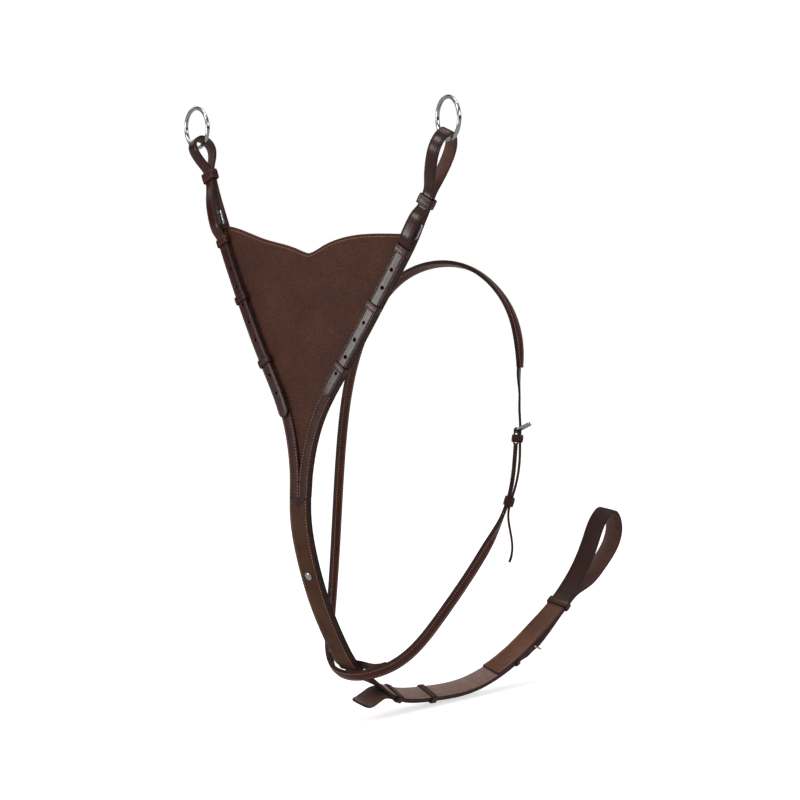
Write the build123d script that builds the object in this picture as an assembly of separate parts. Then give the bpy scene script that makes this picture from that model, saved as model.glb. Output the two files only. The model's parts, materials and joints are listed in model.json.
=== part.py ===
from build123d import *
import math
import os

# Bib martingale in bridle leather, laid out as it is worn.
# Millimetres. +Z up, -Y towards the front (the bib faces -Y), +X towards the horse's left.
# The origin is the chest point, where the chest strap passes through the slot of the neck strap.

# Leather thicknesses and the air left between two sewn layers
sewn_gap = 0.15
bib_leather = 1.5
bib_lining_leather = 1.0
fork_leather = 2.4
lining_leather = 2.0
ring_strap_leather = 2.8
girth_leather = 3.0
billet_leather = 2.4
neck_leather = 2.2
chape_leather = 1.5
keeper_leather = 1.5
keeper_clearance = 0.3
runner_clearance = 0.5

# Distances off the bib's middle surface of the layers on the fork: the faces of the fork leg, the face of its
# lining, and the inside of its keepers
fork_front = bib_leather + sewn_gap
fork_face = fork_front + fork_leather
lining_face = -bib_lining_leather - 2 * sewn_gap
keeper_seat = fork_front + keeper_leather + keeper_clearance

# Strap widths
fork_width = 14.0
chest_width = 26.0
neck_width = 13.0
girth_width = 24.0

# Bib: a sheet leaning back a little and wrapped round the chest
bib_middle_y = -80.0
bib_lean = 0.047
bib_wrap = 0.0005
bib_apex_z = 222.0
bib_corner = (137.0, 484.0)
bib_brow = {"left": [(0, 459), (20, 467), (62, 480)], "right": [(0, 459), (20, 464), (62, 471)]}

# Fork legs: distance of the centre line from the middle against height
fork_line = [(6, 186), (8, 230), (23, 286), (56, 341), (97, 407), (139, 481), (187, 592), (203, 630)]
fork_join_z = 187.0
fork_join_rise = 12.0
fork_slit_z = 213.0
fork_lining_top_z = 428.0
fork_keeper_heights = {"lower": 340.0, "middle": 406.0, "upper": 466.5}
fork_keeper_length = 8.5
fork_bar_z = 482.5

# Ring straps: heights of the runner, of the top of the loop and of the tip, half the depth of the loop, and
# how far the loop leans forward for each millimetre of its height. The left strap is let out further.
ring_straps = {
    "left": {"side": 1, "runner": 518.0, "top": 591.0, "tip": 308.0, "depth": 16.5, "lean": 0.20},
    "right": {"side": -1, "runner": 537.0, "top": 578.5, "tip": 272.0, "depth": 12.5, "lean": 0.12},
}
ring_strap_foot_z = 430.0
ring_strap_billet_lift = 5.9
ring_strap_raised_lift = 11.0
ring_runner_length = 9.5
ring_strap_holes = 8
hole_diameter = 3.4
hole_reach = 1.6
hole_pitch = 22.0

# Rings: how far the wire hangs below the top of its loop, and how the ring leans outwards, stands off to one
# side and is turned on the strap
ring_outer_diameter = 48.0
ring_wire = 4.4
ring_drop = 8.4
ring_lean = 16.0
ring_shift = {"left": 0.0, "right": 3.0}
ring_turn = {"left": -18.0, "right": -11.0}

# Buckles, as the distance from the bar to the far side
buckle_wire = 2.2
buckle_reach = 16.0
buckle_side_room = 0.7
tongue_wire = 2.0
tongue_overhang = 1.8
bar_clearance = 0.2
bar_sleeve = buckle_wire / 2 + bar_clearance
chape_radius = bar_sleeve + chape_leather
fork_chape_length = chape_radius + 3.5
neck_chape_length = chape_radius + 12.0
girth_chape_length = chape_radius + 10.0
chape_slot_length = 9.5
chape_slot_width = tongue_wire + 0.8

# Chest strap, upwards from its end behind the slot, in the middle plane (y, z)
chest_line = [(19, -12.5), (0, 0), (-26, 34), (-49, 76), (-66, 118), (-75.5, 150), (-79.7, 174), (-80.4, 190),
              (-79.5, 210), (-78.6, 230)]

# Stud on the chest strap, standing where a maker would put a badge
stud_z = 112.0
stud_radius = 4.6
stud_rim = 1.0
stud_dome_radius = 4.0

# Neck strap: its loop from the chest point up the horse's left side, over the withers and down the right.
# Round its buckle the strap is twisted to face outwards.
neck_left = [(18, -4.4, -5.4), (48, 15, 7), (80, 54, 57), (105, 91, 120), (120, 103, 155), (131, 111, 190),
             (131, 121, 235), (127.5, 128, 265), (125, 134, 300), (123.5, 138, 335), (108, 143, 386),
             (63, 150, 425)]
neck_top = (0, 157, 438)
neck_right = [(-65, 154, 419), (-122, 141, 334), (-133, 127, 235), (-117, 99, 120), (-85, 56, 37),
              (-48, 15, 7), (-18, -4.4, -5.4)]
neck_bottom = (0, -6.8, -7.3)
neck_twist = [(125, 0.0), (178, 1.0), (290, 1.0), (370, 0.0)]
neck_bar_z = 262.0
neck_step_z = 330.0
neck_keeper_below_bar = 9.0
neck_runner_z = 186.0
neck_tail = [(130, 115, 152), (127, 117, 117)]
neck_frame_tilt = 58.0
neck_tongue_slot = 7.5
neck_billet_width = neck_width - 1
neck_keeper_length = 6.5
neck_runner_length = 9.0

# Girth strap, backwards from its joint with the chest strap, in the middle plane (y, z)
girth_line = [(20, -13.3), (38, -24), (68, -38), (125, -47), (190, -48), (240, -38), (285, -20), (325, 2),
              (361, 25), (385, 45)]
girth_roll = [(22, 0), (58, 26), (80, 26), (125, 25), (235, 21), (361, 17), (450, 7)]
girth_bar_y = 300.0
girth_bar_lift = -1.9
girth_square_end_y = 236.0
girth_runner_y = 361.0
girth_keepers = {"front": 68.0, "rear": 125.0, "buckle": 270.0}
girth_frame_tilt = 50.0
girth_tongue_slot = 8.5
girth_keeper_length = 9.0
girth_buckle_keeper_length = 7.0
girth_loop = [(398, 60), (420, 92), (437, 119), (454, 128), (466, 112), (460, 86), (437, 64), (407, 45)]
girth_tail = [(0, 30, -38), (0, 4, -36)]


def bib_y(x, z):
    """Depth of the bib's middle surface at a place on it."""
    return bib_middle_y + bib_lean * (z - 200) + bib_wrap * x * x


def bib_front(point):
    """Direction square to the bib and out of its front."""
    return Vector(2 * bib_wrap * point.X, -1, bib_lean).normalized()


class Track:
    """The run of a strap: its centre line, and the direction across the strap at each point of it."""

    def __init__(self, points, across, closed=False):
        self.line = Edge.make_spline([Vector(*p) for p in points], periodic=closed)
        self.across = across
        self.closed = closed

    def frame(self, share):
        """Point, and the directions along, across and out of the face, at a share of the length."""
        if self.closed:
            share = share % 1.0
        point = self.line.position_at(share)
        along = self.line.tangent_at(share)
        across = self.across(point, along)
        across = (across - along * across.dot(along)).normalized()
        return point, along, across, across.cross(along)

    def share(self, axis, value, end=1.0):
        """Share of the length, between 0 and end, at which the centre line reaches a value on an axis."""
        low, high = 0.0, end
        rising = getattr(self.line.position_at(end), axis) > value
        for _ in range(40):
            middle = (low + high) / 2
            if (getattr(self.line.position_at(middle), axis) > value) == rising:
                high = middle
            else:
                low = middle
        return low

    def nearest(self, point, start, end):
        """Share of the length, between two shares, at which the centre line passes nearest to a point."""
        shares = [start + (end - start) * i / 1000 for i in range(1001)]
        return min(shares, key=lambda share: (self.line.position_at(share) - point).length)

    def section(self, share):
        """Plane square to the strap: x across it, y into its face, z along it."""
        point, along, across, out = self.frame(share)
        return Plane(origin=point, x_dir=across, z_dir=along)

    def lifted(self, share, lift):
        """A point off the face of the strap."""
        point, along, across, out = self.frame(share)
        return point + out * lift


def ribbon(track, start, end, width, low, high, stations=25):
    """A strap layer following a track between two shares of its length, between two heights off its line."""
    corners = [(-1, low), (1, low), (1, high), (-1, high)]
    steps = [i / (stations - 1) for i in range(stations)]
    frames = [track.frame(start + (end - start) * step) for step in steps]
    rails = []
    for side, lift in corners:
        offset = side * width / 2
        rails.append([point + across * offset + out * lift for point, along, across, out in frames])
    edges = [Edge.make_spline(rail, parameters=steps) for rail in rails]
    faces = [Face.make_surface_from_curves(edges[i], edges[(i + 1) % 4]) for i in range(4)]
    for i in (0, -1):
        faces.append(Face(Wire.make_polygon([rail[i] for rail in rails], close=True)))
    return Solid(Shell(faces))


def rounded_tip(track, width):
    """What is cut off the end of a strap to leave a half-round tip."""
    point, along, across, out = track.frame(1.0)
    plane = Plane(origin=point - along * (width / 2), x_dir=across, z_dir=out)
    block = Pos(0, width) * Rectangle(width * 2, width * 2)
    cut_depth = 3 * billet_leather
    return extrude(plane * (block - Circle(width / 2)), cut_depth, both=True)


def loop_section(width, low, high, clearance):
    """Section of a leather loop fitting round layers of a width between two heights. Heights run along -y."""
    inner_width = width + 2 * clearance
    inner_height = high - low + 2 * clearance
    outer = RectangleRounded(inner_width + 2 * keeper_leather, inner_height + 2 * keeper_leather, 1.8)
    inner = RectangleRounded(inner_width, inner_height, 0.4)
    return Pos(0, -(low + high) / 2) * (outer - inner)


def keeper(track, share, width, low, high, length, clearance=keeper_clearance):
    """A closed leather loop round the layers between two heights, square to the track."""
    return extrude(track.section(share) * loop_section(width, low, high, clearance), length / 2, both=True)


def groove(track, share, width, low, high, length):
    """The room cut in a layer for the part of a keeper that is sewn in under it."""
    profile = Pos(0, -(low + high) / 2) * Rectangle(width + 2, high - low)
    return extrude(track.section(share) * profile, length / 2 + sewn_gap, both=True)


def hole(track, share, length=hole_diameter):
    """A punched hole, longer along the strap where a tongue passes."""
    point, along, across, out = track.frame(share)
    shape = Circle(hole_diameter / 2) if length <= hole_diameter else SlotOverall(length, hole_diameter)
    return extrude(Plane(origin=point, x_dir=along, z_dir=out) * shape, hole_reach, both=True)


def mixed(value, table):
    """Value read off a table of (place, amount) pairs, straight between the pairs and level past its ends."""
    if value <= table[0][0]:
        return table[0][1]
    for (a, low), (b, high) in zip(table, table[1:]):
        if value <= b:
            return low + (high - low) * (value - a) / (b - a)
    return table[-1][1]


# ---------------------------------------------------------------- buckles

def buckle_frame(bar, inner_width):
    """A wire buckle. bar has its x along the bar, its y towards the far side and its z out of the front."""
    span = inner_width + buckle_wire
    outline = bar * Pos(0, buckle_reach / 2) * RectangleRounded(span, buckle_reach, 2.4)
    path = outline.wires()[0]
    start = Plane(origin=path @ 0, z_dir=path % 0)
    return sweep(start * Circle(buckle_wire / 2), path=path)


def buckle_tongue(bar):
    """The tongue: an eye round the bar and a straight wire resting on the far side of the frame."""
    eye_radius = bar_sleeve + tongue_wire / 2
    eye = bar * Rot(0, 90, 0) * Torus(eye_radius, tongue_wire / 2 + 0.1)
    wire = extrude(Circle(tongue_wire / 2), buckle_reach + tongue_overhang)
    wire = fillet(wire.edges().group_by(Axis.Z)[-1], tongue_wire / 2 - 0.1)
    return eye + bar * Pos(0, 0, eye_radius) * Rot(-90, 0, 0) * wire


def chape(strap_plane, width, length):
    """The leather folded round the bar, with the slot for the tongue. Its legs run back along -y."""
    folded = Circle(chape_radius) + Pos(-length / 2, 0) * Rectangle(length, 2 * chape_radius)
    room = Circle(bar_sleeve) + Pos(-length / 2, 0) * Rectangle(length, 2 * bar_sleeve)
    side = Plane(origin=(0, 0, 0), x_dir=(0, 1, 0), z_dir=(1, 0, 0))
    leather = extrude(side * (folded - room), width / 2, both=True)
    tongue_slot = Box(chape_slot_width, chape_slot_length, 4 * chape_radius)
    return strap_plane * (leather - tongue_slot)


# ---------------------------------------------------------------- bib and fork

def bib_sheet(low, high):
    """Leather of the bib between two distances in front of its middle surface."""
    half_span = 200.0
    foot_z = 200.0
    curves = []
    for lift in (low, high):
        places = [(half_span * i, bib_y(half_span * i, foot_z) - lift) for i in (-1, -0.5, 0, 0.5, 1)]
        curves.append(Spline(*places))
    ends = [Line(curves[0] @ i, curves[1] @ i) for i in (0, 1)]
    rise = Vector(0, bib_lean, 1)
    section = Plane.XY.offset(foot_z) * make_face(curves + ends)
    sheet = extrude(section, amount=300 * rise.length, dir=rise.normalized())
    return sheet & extrude(Plane.XZ * bib_outline(), 2 * half_span, both=True)


def bib_outline():
    """Edge of the bib seen square from the front. Its sides run under the middle of the fork legs."""
    edges = []
    for name, side in (("left", 1), ("right", -1)):
        corner = (side * bib_corner[0], bib_corner[1])
        brow = [(side * x, z) for x, z in bib_brow[name]] + [corner]
        edges.append(Spline(*brow, tangents=[(side, 0.15), (side, 0.03)]))
        edges.append(Spline(corner, (side * 97, 414), (side * 56, 348), (side * 23, 292), (side * 6, 240)))
        edges.append(Line((side * 6, 240), (0, bib_apex_z)))
    return make_face(edges)


def fork_track(side):
    """Centre line of one fork leg on the bib's surface, carried on upwards for the ring strap."""
    points = [(side * x, bib_y(x, z), z) for x, z in fork_line]
    return Track(points, lambda point, along: along.cross(bib_front(point)))


def join_wedge():
    """The room below the pointed join where the two fork legs meet the chest strap."""
    half = 40.0
    rise = fork_join_rise * half / (chest_width / 2)
    edge = Polyline((0, fork_join_z), (half, fork_join_z + rise), (half, 0), (-half, 0),
                    (-half, fork_join_z + rise), close=True)
    return extrude(Plane.XZ * make_face(edge), 200, both=True)


def half_space(side, gap=0.0):
    """Everything on one side of the middle plane."""
    return Pos(side * (200 + gap), 0, 300) * Box(400, 400, 800)


def save(name, shape):
    export_step(shape, "parts/" + name + ".step")


def build_bib():
    save("bib_front", bib_sheet(0, bib_leather))
    save("bib_lining", bib_sheet(-bib_lining_leather - sewn_gap, -sewn_gap))


def build_fork_leg(name, side):
    """One leg of the fork: its face layer, its lining, its keepers and its buckle."""
    track = fork_track(side)
    own_half = half_space(side, sewn_gap)
    below_join = join_wedge()
    foot = track.share("Z", fork_join_z - 3)
    bar_share = track.share("Z", fork_bar_z)
    bar_plane = leg_buckle_plane(track, bar_share)
    face_end = bar_share - (fork_chape_length + sewn_gap) / track.line.length
    slit_end = Pos(0, bib_y(0, fork_slit_z), fork_slit_z) * Rot(90, 0, 0) * Cylinder(hole_diameter / 2, 40)

    face = ribbon(track, foot, face_end, fork_width, fork_front, fork_face)
    for height in fork_keeper_heights.values():
        share = track.share("Z", height)
        face -= groove(track, share, fork_width, fork_front - 1, fork_front + keeper_leather + sewn_gap,
                       fork_keeper_length)
    save("fork_leg_" + name, (face & own_half) - below_join - slit_end)

    lining_top = track.share("Z", fork_lining_top_z)
    lining = ribbon(track, foot, lining_top, fork_width, lining_face - lining_leather, lining_face)
    save("fork_lining_" + name, (lining & own_half) - below_join)

    billet_face = ring_strap_billet_lift + ring_strap_leather / 2
    for place, height in fork_keeper_heights.items():
        share = track.share("Z", height)
        loop = keeper(track, share, fork_width, keeper_seat, billet_face, fork_keeper_length)
        save("fork_keeper_" + place + "_" + name, loop)

    save("fork_buckle_frame_" + name, buckle_frame(bar_plane, fork_width + 2 * buckle_side_room))
    save("fork_buckle_tongue_" + name, buckle_tongue(bar_plane))
    save("fork_buckle_chape_" + name, chape(bar_plane, fork_width, fork_chape_length))


def leg_buckle_plane(track, share):
    """Plane of a fork buckle lying flat on the end of its leg."""
    point, along, across, out = track.frame(share)
    return Plane(origin=point + out * (fork_front + sewn_gap + chape_radius), x_dir=across, z_dir=out)


def loop_lift(strap, height):
    """How far the middle of a ring strap's loop stands off the fork's line at a height."""
    return 1.0 + strap["lean"] * max(height - strap["runner"] - 6, 0)


def teardrop(strap, legs_apart):
    """Heights and lifts round the loop that holds the ring, from its back leg over the top to its front."""
    depth = strap["depth"]
    rise = strap["top"] - strap["runner"]
    shape = [(0, legs_apart / depth), (0.13, legs_apart / depth), (0.30, 0.42), (0.55, 0.86), (0.76, 0.98),
             (0.93, 0.62)]
    heights = [(strap["runner"] + rise * up, depth * out) for up, out in shape]
    back = [(height, loop_lift(strap, height) - half) for height, half in heights]
    front = [(height, loop_lift(strap, height) + half) for height, half in reversed(heights)]
    return back + [(strap["top"], loop_lift(strap, strap["top"]))] + front


def ring_strap_track(side, strap):
    """Back leg up from the fork, loop through the ring, and front leg down over the buckle to the tip."""
    fork = fork_track(side)
    runner = strap["runner"]
    bar = fork_bar_z
    keeper_top = fork_keeper_heights["upper"] + fork_keeper_length / 2
    back_lift = lining_face - ring_strap_leather / 2 - sewn_gap
    legs_apart = ring_strap_leather / 2 + sewn_gap
    over_buckle = ring_strap_raised_lift
    places = [(ring_strap_foot_z, back_lift), (455, back_lift), (bar, back_lift), (runner - 14, -0.9)]
    places += teardrop(strap, legs_apart)
    places += [(runner - 8, 3.0), ((runner + bar + 16) / 2 - 2, 6.9), (bar + 15, 10.4)]
    places += [(bar + 6, over_buckle), (bar - 2, 10.6), (bar - 6, 9.2), (bar - 9, 7.4)]
    places += [(keeper_top + 0.5, 6.2), (keeper_top - 1.5, 5.95)]
    billet = range(int(keeper_top) - 6, int(strap["tip"]), -14)
    places += [(height, ring_strap_billet_lift) for height in billet]
    points = [fork.lifted(fork.share("Z", height), lift) for height, lift in places]

    def across(point, along):
        return fork.frame(fork.share("Z", point.Z))[2]

    return Track(points, across)


def build_ring_strap(name, strap):
    side = strap["side"]
    fork = fork_track(side)
    track = ring_strap_track(side, strap)
    half = ring_strap_leather / 2
    leather = ribbon(track, 0, 1, fork_width, -half, half, stations=90)
    leather -= rounded_tip(track, fork_width)
    for number in range(1, ring_strap_holes + 1):
        from_tip = (number + 0.3) * hole_pitch
        leather -= hole(track, 1 - from_tip / track.line.length)
    save("ring_strap_" + name, leather)

    runner_share = fork.share("Z", strap["runner"])
    reach = ring_strap_leather + sewn_gap
    loop = keeper(fork, runner_share, fork_width, 1.0 - reach, 1.0 + reach, ring_runner_length,
                  runner_clearance)
    save("ring_runner_" + name, loop)
    save("ring_" + name, rein_ring(fork, name, strap))


def ring_seat(fork, name, strap):
    """Where the ring's wire rests in its loop, and the level and upward directions in the ring's plane."""
    height = strap["top"] - ring_drop
    share = fork.share("Z", height)
    point, along, across, out = fork.frame(share)
    turn = math.radians(ring_turn[name])
    lean = math.radians(ring_lean) * strap["side"]
    level = Vector(math.cos(turn), math.sin(turn), 0)
    up = Vector(0, 0, 1) * math.cos(lean) + level * math.sin(lean)
    seat = point + out * loop_lift(strap, height) + across * (ring_shift[name] * strap["side"])
    return seat, level, up


def rein_ring(fork, name, strap):
    """A round wire ring standing up out of its loop, turned a little on the strap."""
    seat, level, up = ring_seat(fork, name, strap)
    radius = (ring_outer_diameter - ring_wire) / 2
    return Plane(origin=seat + up * radius, x_dir=up, z_dir=level.cross(up)) * Torus(radius, ring_wire / 2)


# ---------------------------------------------------------------- chest strap

def build_chest_strap():
    points = [(0, y, z) for y, z in chest_line]
    track = Track(points, lambda point, along: Vector(1, 0, 0))
    top = track.share("Z", 215)
    join = join_wedge()
    face = ribbon(track, 0, top, chest_width, fork_front, fork_face, stations=35)
    save("chest_strap", face & Pos(0, 0, -sewn_gap) * join)
    core_back = lining_face + 2 * sewn_gap
    core_front = fork_front - 2 * sewn_gap
    save("chest_core", ribbon(track, 0, top, chest_width, core_back, core_front, stations=35))
    lining = ribbon(track, 0, top, chest_width, lining_face - lining_leather, lining_face, stations=35)
    save("chest_lining", lining & Pos(0, 0, -sewn_gap) * join)
    point, along, across, out = track.frame(track.share("Z", stud_z))
    seat = Plane(origin=point + out * (fork_face + 2 * sewn_gap), x_dir=across, z_dir=out)
    stud = Cylinder(stud_radius, stud_rim, align=(Align.CENTER, Align.CENTER, Align.MIN))
    dome = Pos(0, 0, stud_rim) * scale(Sphere(stud_dome_radius), (1, 1, 0.3))
    save("chest_stud", seat * (stud + dome))


# ---------------------------------------------------------------- neck strap

def neck_across(point, along):
    """The strap lies flat round the chest strap, level over the withers, and twisted at its buckle."""
    share = min(max(point.Z / 130, 0), 1)
    flat = Vector(0, 0.66, -0.75) * (1 - share) + Vector(0, 0.93, -0.36) * share
    if point.X < 0:
        return flat
    twist = mixed(point.Z, neck_twist)
    twist = twist * twist * (3 - 2 * twist)
    return flat * (1 - twist) + Vector(-0.66, 0.74, -0.12) * twist


def neck_track():
    return Track([neck_bottom] + neck_left + [neck_top] + neck_right, neck_across, closed=True)


def build_neck_strap():
    track = neck_track()
    length = track.line.length
    bar = track.share("Z", neck_bar_z, end=0.5)
    step = track.share("Z", neck_step_z, end=0.5) - 1
    strap_end = bar - (neck_chape_length + sewn_gap) / length
    save("neck_strap", ribbon(track, step, strap_end, neck_width, sewn_gap, neck_leather, stations=120))
    lining = ribbon(track, step, strap_end, neck_width, -lining_leather, 0, stations=120)
    save("neck_lining", lining)

    point, along, across, out = track.frame(bar)
    strap_plane = Plane(origin=point, x_dir=across, z_dir=out)
    billet_lift = chape_radius + sewn_gap + billet_leather / 2
    frame_plane = strap_plane * Rot(neck_frame_tilt, 0, 0)
    save("neck_buckle_chape", chape(strap_plane, neck_width, neck_chape_length))
    save("neck_buckle_frame", buckle_frame(frame_plane, neck_width + 2 * buckle_side_room))
    save("neck_buckle_tongue", buckle_tongue(frame_plane))

    billet = neck_billet_track(track, billet_lift)
    half = billet_leather / 2
    leather = ribbon(billet, 0, 1, neck_billet_width, -half, half, stations=60)
    leather -= rounded_tip(billet, neck_billet_width)
    tongue_hole = billet.share("Z", neck_bar_z)
    leather -= hole(billet, tongue_hole, neck_tongue_slot)
    for number in (-2, -1, 1, 2, 3):
        leather -= hole(billet, tongue_hole + number * hole_pitch / billet.line.length)
    save("neck_billet", leather)

    keeper_share = bar - neck_keeper_below_bar / length
    keeper_top = billet_lift + half + 0.6
    loop = keeper(track, keeper_share, neck_width, -chape_radius, keeper_top, neck_keeper_length)
    save("neck_keeper", loop)
    runner_share = track.share("Z", neck_runner_z, end=0.5)
    runner_top = neck_leather + billet_leather + 0.4
    loop = keeper(track, runner_share, neck_width, -lining_leather, runner_top, neck_runner_length,
                  runner_clearance)
    save("neck_runner", loop)
    save("neck_slot_loop", neck_slot_loop(track))


def neck_billet_track(track, lift):
    """The billet comes off the end of the lining, over the bar, and down outside the strap to its tip."""
    at_runner = neck_leather + billet_leather / 2 + 0.2
    start = -lining_leather / 2
    lifts = [(neck_step_z - 0.3, start), (neck_step_z - 12, start + 0.2), (300, 1.2), (286, 1.9),
             (274, 3.2), (neck_bar_z, lift + 0.1), (252, lift + 0.4), (240, 5.3), (222, 5.6),
             (203, 4.5), (194, at_runner + 0.2), (neck_runner_z, at_runner), (180, at_runner + 0.1)]
    points = [track.lifted(track.share("Z", height, end=0.5), lift) for height, lift in lifts]
    points += neck_tail

    def across(point, along):
        return track.frame(track.share("Z", max(point.Z, neck_runner_z), end=0.5))[2] * -1

    return Track(points, across)


def neck_slot_loop(track):
    """The layer behind the neck strap that makes the slot for the chest strap."""
    lifts = [(44, -3.4), (28, -10.2), (16, -15.2), (8, -16.3)]
    shares = [(track.share("X", x, end=0.2), lift) for x, lift in lifts]
    points = [track.lifted(-share, lift) for share, lift in shares]
    points += [track.lifted(0, -16.5)]
    points += [track.lifted(share, lift) for share, lift in reversed(shares)]
    loop = Track(points, neck_across)
    return ribbon(loop, 0, 1, neck_width, -lining_leather / 2, lining_leather / 2, stations=60)


# ---------------------------------------------------------------- girth strap

def girth_across(point, along):
    """The strap turns a little about its own length behind the chest strap, its left edge lower."""
    roll = math.radians(mixed(point.Y, girth_roll))
    return Vector(math.cos(roll), 0, -math.sin(roll))


def girth_loop_track(track):
    """The layer sewn on the girth strap, its loop for the girth, and its billet back under the strap."""
    upper = girth_leather / 2 + sewn_gap + billet_leather / 2
    under = -upper
    pair = billet_leather / 2 + 0.25
    at_bar = girth_bar_lift - chape_radius - sewn_gap - billet_leather / 2
    lifts = [(girth_square_end_y, upper), (260, upper), (285, upper), (305, upper + 0.1), (325, upper - 0.3),
             (345, pair + 0.3), (353, pair), (girth_runner_y, pair), (369, pair + 0.1)]
    points = [track.lifted(track.share("Y", y), lift) for y, lift in lifts]
    points += [(0, y, z) for y, z in girth_loop]
    bar = girth_bar_y
    lifts = [(378, -pair - 2.0), (369, -pair - 0.1), (girth_runner_y, -pair), (353, -pair)]
    lifts += [(343, -pair - 1.4), (330, -5.6), (318, -7.7), (bar + 8, -8.2), (bar, at_bar - 0.6)]
    lifts += [(bar - 6, at_bar - 0.3), (bar - 12.5, at_bar - 0.2), (bar - 18, under - 1.4)]
    lifts += [(bar - 24, under - 0.2), (bar - 30, under), (bar - 38, under), (bar - 50, under)]
    lifts += [(y, under) for y in range(int(bar) - 68, 60, -18)]
    lifts += [(58, under - 0.4), (50, under - 2.0)]
    points += [track.lifted(track.share("Y", y), lift) for y, lift in lifts]
    points += girth_tail
    return Track(points, girth_loop_across)


def girth_loop_across(point, along):
    """Across the loop strap, which doesn't turn level in front of the foremost keeper."""
    return girth_across(Vector(point.X, max(point.Y, girth_roll[1][0]), point.Z), along)


def build_girth_strap():
    points = [(0, y, z) for y, z in girth_line]
    track = Track(points, girth_across)
    length = track.line.length
    half = girth_leather / 2
    bar = track.share("Y", girth_bar_y)
    strap_end = bar - (girth_chape_length + sewn_gap) / length
    leather = ribbon(track, 0, strap_end, girth_width, -half, half, stations=80)
    buckle_keeper = track.share("Y", girth_keepers["buckle"])
    leather -= groove(track, buckle_keeper, girth_width, half - keeper_leather - sewn_gap, half + 1,
                      girth_buckle_keeper_length)
    save("girth_strap", leather)

    under = -half - sewn_gap - billet_leather
    seat = half - keeper_clearance - keeper_leather
    loop = keeper(track, buckle_keeper, girth_width, under, seat, girth_buckle_keeper_length)
    save("girth_keeper_buckle", loop)
    for place in ("front", "rear"):
        share = track.share("Y", girth_keepers[place])
        save("girth_keeper_" + place, keeper(track, share, girth_width, under, half, girth_keeper_length))

    point, along, across, out = track.frame(bar)
    strap_plane = Plane(origin=point + out * girth_bar_lift, x_dir=across * -1, z_dir=out * -1)
    frame_plane = strap_plane * Rot(girth_frame_tilt, 0, 0)
    save("girth_buckle_chape", chape(strap_plane, girth_width, girth_chape_length))
    save("girth_buckle_frame", buckle_frame(frame_plane, girth_width + 2 * buckle_side_room))
    save("girth_buckle_tongue", buckle_tongue(frame_plane))

    loop = girth_loop_track(track)
    half = billet_leather / 2
    leather = ribbon(loop, 0, 1, girth_width, -half, half, stations=160)
    leather -= rounded_tip(loop, girth_width)
    above_keeper = loop.nearest(track.lifted(buckle_keeper, girth_leather / 2), 0, 0.3)
    leather -= groove(loop, above_keeper, girth_width, -half - 1, -half + keeper_clearance,
                      girth_buckle_keeper_length)
    tongue_hole = loop.nearest(track.lifted(track.share("Y", girth_bar_y + 1), -8), 0.4, 1)
    leather -= hole(loop, tongue_hole, girth_tongue_slot)
    for number in (-2, -1, 1, 2, 3, 4):
        leather -= hole(loop, tongue_hole + number * hole_pitch / loop.line.length)
    save("girth_loop_strap", leather)
    runner = track.share("Y", girth_runner_y)
    reach = billet_leather + 0.25
    loop = keeper(track, runner, girth_width, -reach, reach, girth_keeper_length, runner_clearance)
    save("girth_runner", loop)


os.makedirs("parts", exist_ok=True)
build_bib()
for name, strap in ring_straps.items():
    build_fork_leg(name, strap["side"])
    build_ring_strap(name, strap)
build_chest_strap()
build_neck_strap()
build_girth_strap()
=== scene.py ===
"""Looks of the bib martingale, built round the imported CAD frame.

Every strap is rebuilt along the run of its CAD node, with bevelled and creased edges, punched holes and real
stitches. Metal keeps its CAD shape or is turned again with more detail. All lengths are in metres.
"""
import json
import math

import bmesh
import bpy
import numpy as np
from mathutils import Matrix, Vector


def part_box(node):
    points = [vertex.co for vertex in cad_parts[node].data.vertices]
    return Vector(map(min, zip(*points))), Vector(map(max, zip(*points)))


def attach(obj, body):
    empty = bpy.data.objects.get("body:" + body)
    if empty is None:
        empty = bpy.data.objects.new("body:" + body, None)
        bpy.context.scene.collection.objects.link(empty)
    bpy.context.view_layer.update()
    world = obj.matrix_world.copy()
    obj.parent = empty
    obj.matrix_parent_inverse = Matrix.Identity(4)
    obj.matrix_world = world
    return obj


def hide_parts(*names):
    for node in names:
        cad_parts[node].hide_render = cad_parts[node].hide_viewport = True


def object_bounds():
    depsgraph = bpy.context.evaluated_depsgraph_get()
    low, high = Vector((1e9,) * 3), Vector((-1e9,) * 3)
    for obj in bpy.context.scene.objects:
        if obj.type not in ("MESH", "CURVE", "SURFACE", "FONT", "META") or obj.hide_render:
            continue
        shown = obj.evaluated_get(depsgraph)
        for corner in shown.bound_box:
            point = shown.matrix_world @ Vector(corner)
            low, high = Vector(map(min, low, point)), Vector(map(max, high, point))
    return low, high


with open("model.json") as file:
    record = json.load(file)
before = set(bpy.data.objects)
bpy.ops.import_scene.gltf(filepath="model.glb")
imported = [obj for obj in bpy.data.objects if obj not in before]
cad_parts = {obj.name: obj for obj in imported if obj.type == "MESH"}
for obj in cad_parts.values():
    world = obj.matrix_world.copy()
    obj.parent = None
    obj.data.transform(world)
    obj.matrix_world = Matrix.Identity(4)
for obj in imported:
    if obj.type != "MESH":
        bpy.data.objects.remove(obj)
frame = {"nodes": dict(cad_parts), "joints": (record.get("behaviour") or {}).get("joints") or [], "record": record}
bounds_at_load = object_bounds()
record = frame["record"]
slots = {part["node"]: part["material_slot"] for part in record["subparts"]}
bodies = {node: body for body, nodes in record["behaviour"]["bodies"].items() for node in nodes}
joints = {joint["name"]: joint for joint in frame["joints"]}

MM = 0.001

# Widths of the straps and thicknesses of their layers, in millimetres
FORK_WIDTH = 14
CHEST_WIDTH = 26
NECK_WIDTH = 13
NECK_BILLET_WIDTH = 12
GIRTH_WIDTH = 24
FACE_LEATHER = 2.4
LINING_LEATHER = 2.0
RING_STRAP_LEATHER = 2.8
CHEST_CORE_LEATHER = 2.35
NECK_FACE_LEATHER = 2.05
GIRTH_LEATHER = 3.0

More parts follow.
